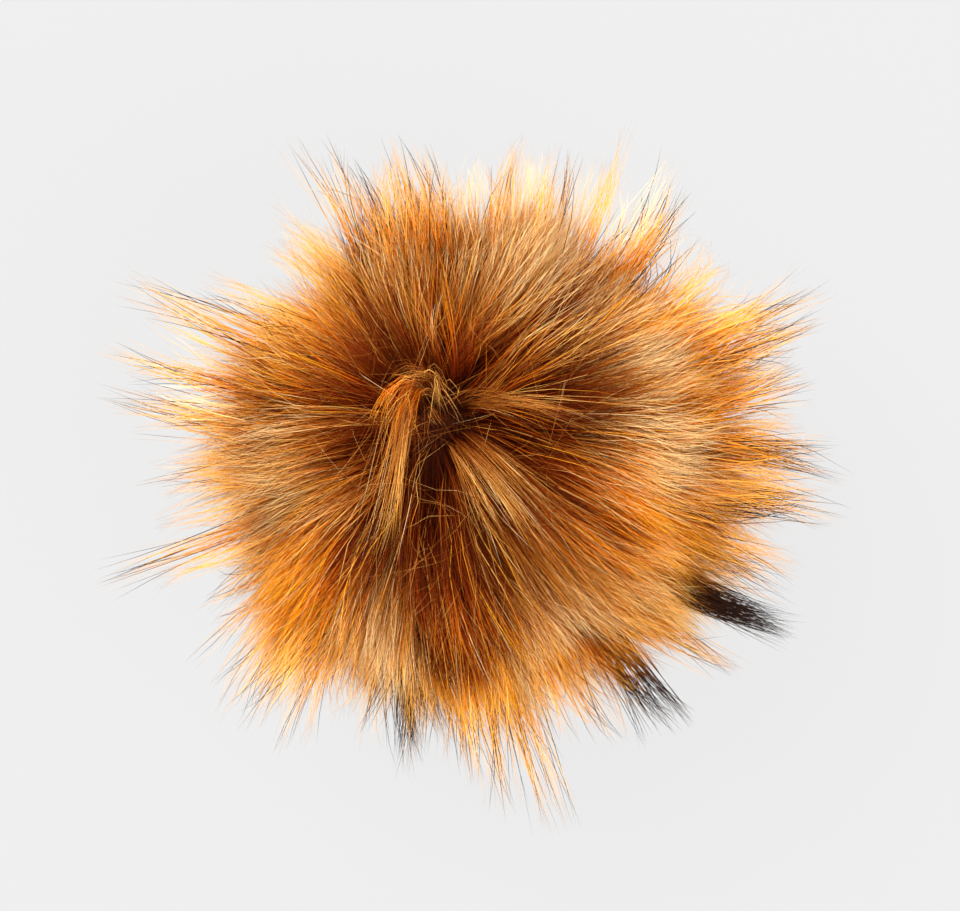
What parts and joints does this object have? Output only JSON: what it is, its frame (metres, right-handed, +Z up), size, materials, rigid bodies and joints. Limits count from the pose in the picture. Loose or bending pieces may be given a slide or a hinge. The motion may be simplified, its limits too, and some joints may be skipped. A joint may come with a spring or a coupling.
{
  "type": "fur pom pom",
  "caption": "Round long-pile faux fur pom pom: a ball of soft pointed locks standing out all round from one gathered disc of cloth, at rest on its own pile.",
  "frame": {"origin": "the middle of the flat spot under the ball, on the surface that it stands on", "axes": "+Z up through the crown of the ball, from its flat spot; +X to the right and +Y away as the ball is seen from above"},
  "size_m": [0.1513, 0.1429, 0.1078],
  "materials": {
    "faux_fur": "long soft pile, dark at its roots, fox brown to pale peach at its tips"
  },
  "bodies": {
    "root": {"fur_ball": "faux_fur"}
  },
  "joints": []
}
